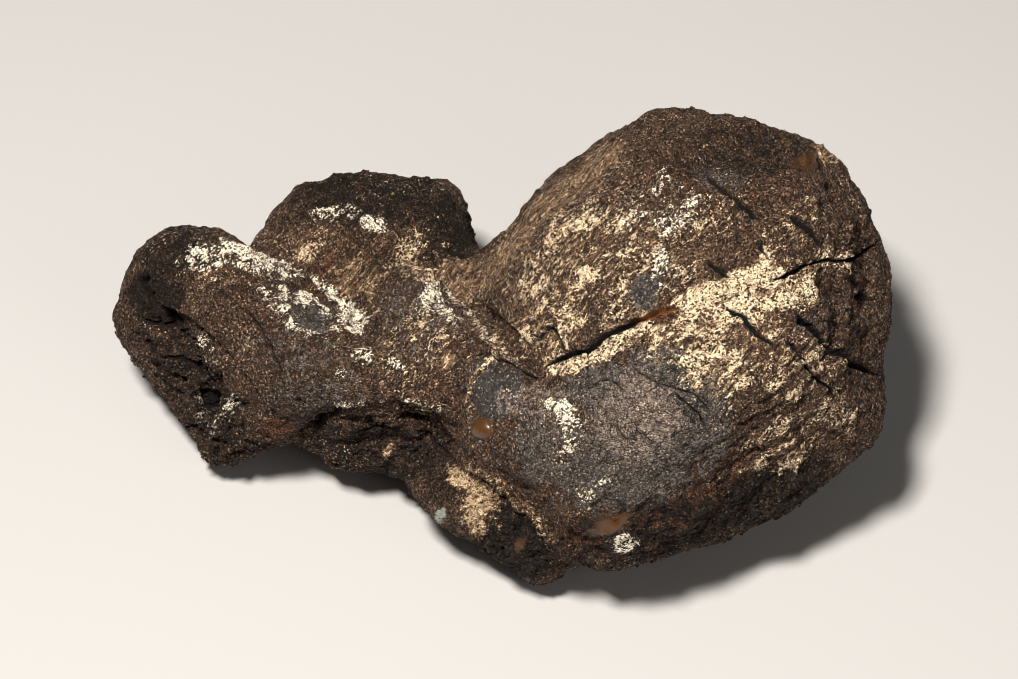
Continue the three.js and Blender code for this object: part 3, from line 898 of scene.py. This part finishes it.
blotches = flecks_of(2.2, detail=3.0, shift=0.1)
crust = flecks_of(0.8, detail=4.0, shift=0.8, turn=40, stretch=1.5)
streaks = flecks_of(1.0, detail=3.0, shift=0.7, turn=46, stretch=3.2)
grit = paint.group(broken, Grain=0.34, Plate=2.6,
                   Width=paint.sum("MULTIPLY_ADD", mask_of("crazed"), 0.085, 0.001))
pick, shade, gleam, cracks = grit["Pick"], grit["Shade"], grit["Gleam"], grit["Cracks"]


def grained(level, share):
    """The level, broken up from grain to grain."""
    return paint.sum("MULTIPLY_ADD", paint.sum("SUBTRACT", pick, 0.5), share, level)


patchy_grains = grained(blotches, 0.3)
crust_grains = grained(crust, 0.45)
streak_grains = grained(streaks, 0.4)
pale = greater(mask_of("cream_clumps"), mask_of("white_clumps"))
tender = greater(mask_of("worn"), mask_of("tan"), mask_of("glassy"))
calm = greater(tender, mask_of("grey"))

# The oxide skin, with rust, worn plates and soot. The soot also stands as painted shade on the sides
# that face away from the light.
colour = paint.over(DARK_BROWN, BROWN, cover(blotches, 0.7, softness=0.5))
colour = paint.over(colour, RUST, times(cover(patchy_grains, "rusty", softness=0.2), 0.8))
colour = paint.over(colour, GREY, cover(patchy_grains, "grey", softness=0.25))
colour = paint.over(colour, GLASSY, cover(patchy_grains, "glassy", softness=0.2))
worn_plates = paint.scaled(WORN[:3], paint.sum("MULTIPLY_ADD", blotches, 0.5, 0.75))
colour = paint.over(colour, worn_plates, cover(crust_grains, "worn", 0.9, 0.3))
colour = paint.over(colour, SOOT_AND_SHADE, cover(patchy_grains, "dark_and_shaded", softness=0.25))
colour = paint.over(colour, TAN, cover(pick, "dusty", 0.14))

# Every grain is darker or lighter than the next: a random tone, with painted shade and glints
# standing for the light on the fine relief. The lightest ones are painted glints in a pale colour.
grain_tone_shade_and_glint = paint.sum("MULTIPLY_ADD", paint.sum("POWER", shade, 1.6), 2.0, -0.8)
colour = paint.scaled(colour, paint.sum("MULTIPLY_ADD", grain_tone_shade_and_glint, less(calm, 0.4), 0.95))
painted_glint = paint.add("MapRange", Value=shade, From_Min=0.89, To_Max=0.75).outputs["Result"]
unstained = less(greater(mask_of("dark_and_shaded"), mask_of("rusty")), 0.9)
colour = paint.over(colour, PAINTED_GLINT, times(painted_glint, unstained))

# Crusts of tan, cream and white phosphates, with a trace of green.
fresh = paint.add("MapRange", Value=gleam, To_Min=0.65, To_Max=1.2).outputs["Result"]
cream_grains = paint.scaled(CREAM[:3], fresh)
tan_grains = paint.scaled(TAN[:3], fresh)
amber_grains = paint.scaled(AMBER[:3], fresh)
grey_grains = paint.scaled(GREY_CRUST[:3], fresh)
colour = paint.over(colour, tan_grains, cover(streak_grains, "tan", softness=0.12))
colour = paint.over(colour, cream_grains, cover(streak_grains, "tan", 0.4))
colour = paint.over(colour, amber_grains, cover(crust_grains, "amber", softness=0.1))
colour = paint.over(colour, cream_grains, cover(crust_grains, "amber", 0.6))
colour = paint.over(colour, tan_grains, cover(crust_grains, "cream_clumps", 0.98))
colour = paint.over(colour, cream_grains, cover(crust_grains, "cream_clumps", 0.8, 0.12))
colour = paint.over(colour, PALE_CREAM, times(cover(crust_grains, "cream_clumps", 0.5, 0.12), 0.9))
colour = paint.over(colour, SOOT_AND_SHADE, times(cover(crust_grains, "white_clumps"), 0.7))
colour = paint.over(colour, grey_grains, cover(crust_grains, "white_clumps", 0.8, 0.1))
colour = paint.over(colour, WHITE, cover(crust_grains, "white_clumps", 0.62, 0.08))
colour = paint.over(colour, VERDIGRIS, cover(crust_grains, "verdigris", softness=0.1))
# Pale flecks: cream grains, and painted sparkle.
colour = paint.over(colour, cream_grains, times(cover(gleam, "flecked_and_sparkle"), 0.85))

# Black gaps between the grains: painted shade of the fine pits and crevices in the skin and crusts.
# Then fine cracks, and painted shade in the hollows. Ochre glass lies over them. The open cracks are
# painted black inside as shade, and rust shows inside some of them.
kept = less(tender, 0.6)
gap_shade = times(cover(paint.sum("SUBTRACT", 1.0, crust_grains), kept, 0.21), 0.85)
gap_shade = greater(gap_shade, times(cover(paint.sum("SUBTRACT", 1.0, pick), pale, 0.24), 0.85))
colour = paint.over(colour, BLACK, gap_shade)
colour = paint.over(colour, BLACK, times(cracks, 0.85))
# Painted shade in the hollows.
colour = paint.over(colour, BLACK, times(mask_of("hollow_shade"), 0.45))
colour = paint.over(colour, OCHRE, cover(crust_grains, "ochre", 1.25, 0.15))
# Open cracks are painted black inside as shade, and orange with rust where the skin is rusty.
crack_shade_and_rust = paint.over(BLACK, ORANGE, paint.sum("POWER", mask_of("rusty"), 3.0))
colour = paint.over(colour, crack_shade_and_rust, mask_of("opened"))
tint = paint.add("MapRange", Value=mask_of("tint"), To_Min=0.6, To_Max=1.4).outputs["Result"]
paint.feed(shader.inputs["Base Color"], paint.scaled(colour, tint))

# The glassy facet and the ochre glass are smoother than the rest, and some grains glint.
smooth_skin = greater(times(mask_of("glassy"), 0.4), times(mask_of("ochre"), 0.9))
even = paint.sum("SUBTRACT", 1.0, smooth_skin)
glint = paint.add("MapRange", Value=shade, From_Min=0.75, To_Min=1.0, To_Max=0.5).outputs["Result"]
paint.feed(shader.inputs["Roughness"], times(paint.sum("MULTIPLY_ADD", even, 0.47, 0.25), glint))
paint.feed(shader.inputs["Coat Weight"], times(mask_of("ochre"), 0.6))
shader.inputs["Coat Roughness"].default_value = 0.2
shader.inputs["Specular IOR Level"].default_value = 0.18

# Crumbly grains that are finer than the mesh.
GRAIN_HEIGHT = 0.0015      # m
crumbly = paint.add("TexNoise", Vector=paint.add("TexCoord").outputs["Object"],
                    Scale=1400.0, Detail=2.0, Roughness=0.7).outputs["Fac"]
domes = times(grit["Rim"], paint.sum("MULTIPLY_ADD", pale, 0.4, 0.5))
rough_height = times(paint.sum("SUBTRACT", crumbly, domes),
                     paint.sum("MULTIPLY_ADD", even, 1.08, -0.08), less(pale, 0.55))
bump = paint.add("Bump", Strength=1.0, Distance=GRAIN_HEIGHT, Height=rough_height)
paint.feed(shader.inputs["Normal"], bump.outputs["Normal"])
nodule.data.materials.clear()
nodule.data.materials.append(skin_finish)

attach(nodule, "root")
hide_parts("nodule")

# ---------------------------------------------------------------------------- crumbs
# Angular crumbs of the weathered skin, half sunk in it where it is rough. They are bits of the
# same oxide and the same phosphate crust as the skin under them, so they share its finish.


def value_of(name):
    """The values of a mask at the points of the skin."""
    values = np.empty(len(nodule.data.vertices), np.float32)
    nodule.data.attributes[name].data.foreach_get("value", values)
    return values


def crumbs(name, chance, count, size, sides, seed):
    """One mesh of angular crumbs over the skin, more of them where the chance is greater. Their
    size is in millimetres."""
    random = np.random.default_rng(seed)
    skin = nodule.data
    skin.calc_loop_triangles()
    corners = np.empty(3 * len(skin.loop_triangles), int)
    skin.loop_triangles.foreach_get("vertices", corners)
    corners = corners.reshape(-1, 3)
    place = np.empty(3 * len(skin.vertices))
    skin.vertices.foreach_get("co", place)
    place = place.reshape(-1, 3)
    edges = place[corners[:, 1:]] - place[corners[:, :1]]
    area = np.linalg.norm(np.cross(edges[:, 0], edges[:, 1]), axis=1)
    weight = area * chance[corners].mean(axis=1)
    chosen = corners[random.choice(len(corners), count, p=weight / weight.sum())]
    share = random.dirichlet((1, 1, 1), count)
    middles = (place[chosen] * share[:, :, None]).sum(axis=1)

    # A crumb is a short blunt cone, turned any way and squeezed along each of its axes.
    crumb = bmesh.new()
    bmesh.ops.create_cone(crumb, cap_ends=True, segments=sides, radius1=0.62,
                          radius2=0.1 * (sides - 3), depth=0.85)
    shape = np.array([corner.co for corner in crumb.verts])
    faces = [[corner.index for corner in face.verts] for face in crumb.faces]
    crumb.free()
    width = size * (0.55 + 0.9 * random.random(count) ** 2) * MILLIMETRE
    bent = shape * random.uniform(0.5, 1.1, (count, 1, 3))
    turns, _ = np.linalg.qr(random.normal(size=(count, 3, 3)))
    turns *= np.sign(np.linalg.det(turns))[:, None, None]
    cloud = bent @ turns * width[:, None, None] + middles[:, None, :]
    cloud = np.clip(cloud, *np.array(cad_box))
    first = (len(shape) * np.arange(count)).tolist()
    mesh = bpy.data.meshes.new(name)
    mesh.from_pydata(cloud.reshape(-1, 3), [],
                     [[corner + start for corner in face] for start in first for face in faces])
    for attribute in masks:
        values = value_of(attribute)
        spread = (values[chosen] * share).sum(axis=1)
        if attribute in ("hollow_shade", "opened"):
            spread = np.zeros(count)
        if attribute == "tint":
            spread = random.uniform(0.25, 0.75, count)
        made = mesh.attributes.new(attribute, "FLOAT", "POINT")
        made.data.foreach_set("value", np.repeat(spread, len(shape)).astype(np.float32))
    mesh.materials.append(skin_finish)
    heap = bpy.data.objects.new(name, mesh)
    bpy.context.collection.objects.link(heap)
    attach(heap, "root")


# Crumbs are few where the skin is worn or glassy, beside the cracks and towards the back, and
# none lie on the underside.
CLEAR_OF_FLOOR = 0.0012    # m
skin_points = nodule.data.vertices
heights = np.array([corner.co.z for corner in skin_points])
facing = (np.array([corner.normal for corner in skin_points]) @ FACE_AXES.T)[:, 2]
spots = positions(skin_points)
bare = 1 - 0.85 * most(value_of("worn"), value_of("glassy"), value_of("ochre"))
bare *= (1 - beside) * (0.25 + 0.75 * rising(facing, 0, 0.2)) * (heights > CLEAR_OF_FLOOR)
gritty = rising(swells(spots, 4, 71), -0.6, 0.6)
crusted = most(value_of("cream_clumps"), value_of("white_clumps"))
lumpy = 0.3 * rising(swells(spots, 6, 72), 0, 0.8) + crusted + value_of("dark_and_shaded")
sandy = bare * (0.3 + gritty + crusted)
crumbs("fine_crumbs", sandy, count=47000, size=0.4, sides=3, seed=41)
crumbs("more_fine_crumbs", sandy, count=47000, size=0.33, sides=3, seed=42)
crumbs("coarse_crumbs", bare * lumpy, count=4000, size=0.9, sides=5, seed=43)

# ---------------------------------------------------------------------------- floor and lights
# A plain pale floor, and soft studio lights with the main one above the display face.
FLOOR_REACH = 3            # m
PALE_STONE = (0.38, 0.367, 0.354, 1)
WARM_WHITE = (1, 0.965, 0.92)
AIM = (0, 0, 0.04)         # m, near the middle of the nodule

floor = bpy.data.objects.new("floor", bpy.data.meshes.new("floor"))
plane = bmesh.new()
bmesh.ops.create_grid(plane, x_segments=1, y_segments=1, size=FLOOR_REACH)
plane.to_mesh(floor.data)
plane.free()
floor_finish = bpy.data.materials.new("pale_floor")
floor_finish.use_nodes = True
floor_shader = floor_finish.node_tree.nodes["Principled BSDF"]
floor_shader.inputs["Base Color"].default_value = PALE_STONE
floor_shader.inputs["Roughness"].default_value = 0.8
floor.data.materials.append(floor_finish)
bpy.context.collection.objects.link(floor)


def soft_light(name, place, width, power):
    """A square light of a width in metres and a power in watts, aimed at the nodule."""
    light = bpy.data.objects.new(name, bpy.data.lights.new(name, "AREA"))
    light.data.size = width
    light.data.energy = power
    light.data.color = WARM_WHITE
    direction = Vector(AIM) - Vector(place)
    light.matrix_world = (
        Matrix.Translation(Vector(place)) @ direction.to_track_quat("-Z", "Y").to_matrix().to_4x4()
    )
    bpy.context.collection.objects.link(light)


soft_light("main", place=(-0.16, -0.27, 0.83), width=0.12, power=17.5)
soft_light("fill", place=(0.5, -0.6, 0.5), width=0.5, power=1.5)

world = bpy.data.worlds.new("studio")
world.use_nodes = True
background = world.node_tree.nodes["Background"]
background.inputs["Color"].default_value = (0.9, 0.9, 0.9, 1)
background.inputs["Strength"].default_value = 0.1
bpy.context.scene.world = world
bpy.context.scene.view_settings.view_transform = "Standard"
bpy.context.scene.cycles.filter_width = 0.8
